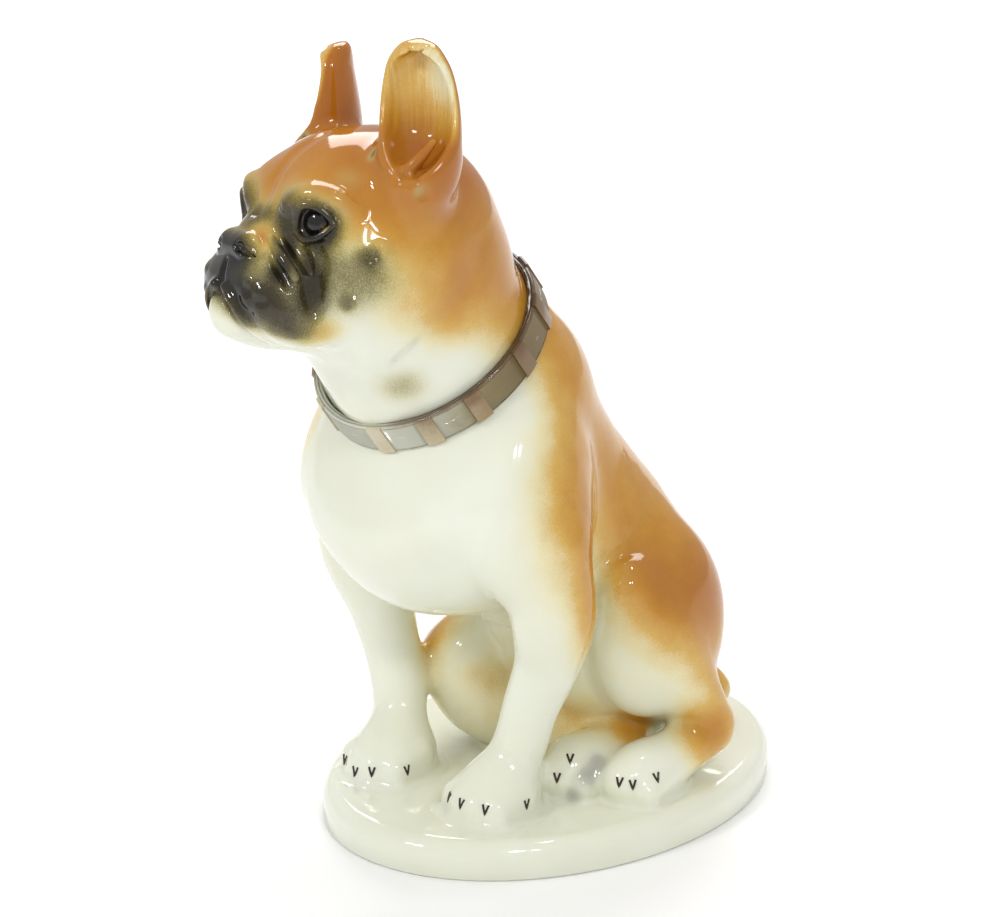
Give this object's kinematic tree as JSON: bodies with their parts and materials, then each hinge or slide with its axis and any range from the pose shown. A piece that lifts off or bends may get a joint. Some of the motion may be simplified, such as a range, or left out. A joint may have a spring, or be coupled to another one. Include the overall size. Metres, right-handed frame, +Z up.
{
  "type": "ceramic dog figurine",
  "caption": "Glazed porcelain figurine of a seated short-nosed dog with upright ears and a collar, hand coloured, on a low oval base.",
  "frame": {"origin": "middle of the flat underside of the oval base", "axes": "+Z up through the seated dog, -Y the way the dog sits facing, +X the dog's left"},
  "size_m": [0.1074, 0.1716, 0.2221],
  "materials": {
    "base_glaze": "clear glossy glaze on white porcelain",
    "body_glaze": "clear glossy glaze over white porcelain with sprayed fawn",
    "head_glaze": "clear glossy glaze over sprayed fawn and a black mask",
    "ear_glaze": "clear glossy glaze over red brown and cream",
    "foreleg_glaze": "clear glossy glaze on white porcelain with sprayed fawn",
    "haunch_glaze": "clear glossy glaze over sprayed fawn",
    "hind_paw_glaze": "clear glossy glaze on white porcelain",
    "tail_glaze": "clear glossy glaze over red brown",
    "collar_glaze": "clear glossy glaze over grey wash",
    "collar_band_glaze": "clear glossy glaze over buff and brown"
  },
  "bodies": {
    "root": {"plinth": "base_glaze", "torso": "body_glaze", "head": "head_glaze", "ear_left": "ear_glaze", "ear_right": "ear_glaze", "foreleg_left": "foreleg_glaze", "foreleg_right": "foreleg_glaze", "haunch_left": "haunch_glaze", "haunch_right": "haunch_glaze", "hind_paw_left": "hind_paw_glaze", "hind_paw_right": "hind_paw_glaze", "tail": "tail_glaze", "collar": "collar_glaze", "collar_bands": "collar_band_glaze"}
  },
  "joints": []
}
